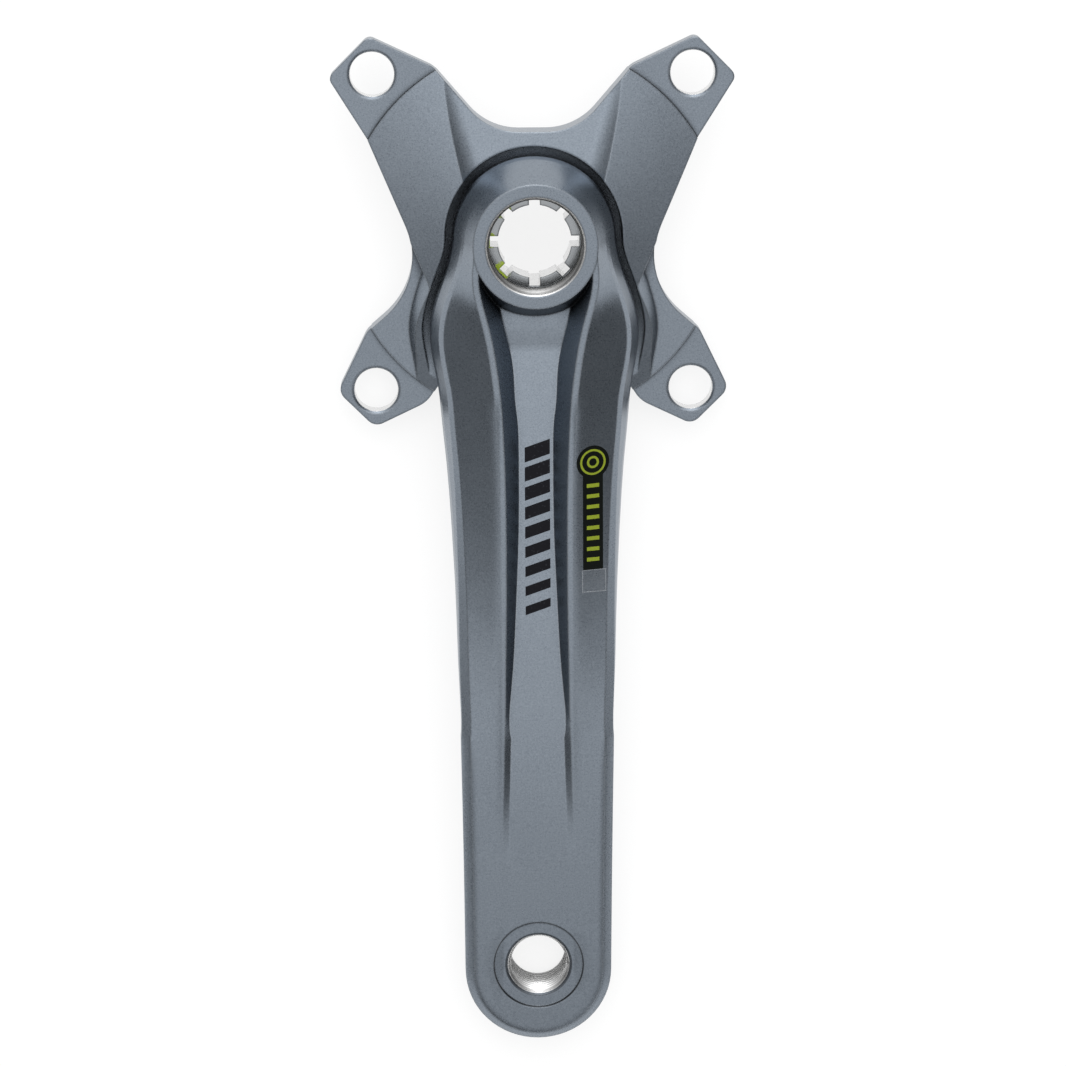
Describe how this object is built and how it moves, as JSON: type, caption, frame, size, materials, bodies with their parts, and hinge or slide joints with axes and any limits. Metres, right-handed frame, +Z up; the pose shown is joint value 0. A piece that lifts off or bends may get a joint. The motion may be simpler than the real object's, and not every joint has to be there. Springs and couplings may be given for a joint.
{
  "type": "bicycle crank arm",
  "caption": "Right-hand bicycle crank: forged arm with a channelled front, splined spindle socket and threaded pedal eye, pressed into a chainring spider behind its head.",
  "frame": {"origin": "on the spindle axis, half-way through the thickness of the spider's ring ears, inside the smooth rear part of the spindle socket", "axes": "+Z up with the crank lying on its back, -Y towards the pedal eye, +X to the right seen from the front. The spindle and pedal axes lean about 8.4 degrees from +Z towards -Y, because the crank rests on its lower ring bosses and the back of its pedal eye."},
  "size_m": [0.0926, 0.2356, 0.0385],
  "materials": {
    "arm_aluminium": "satin grey, fine-grained",
    "spider_aluminium": "satin grey, fine-grained"
  },
  "bodies": {
    "root": {"crank_arm": "arm_aluminium", "chainring_spider": "spider_aluminium"}
  },
  "joints": []
}
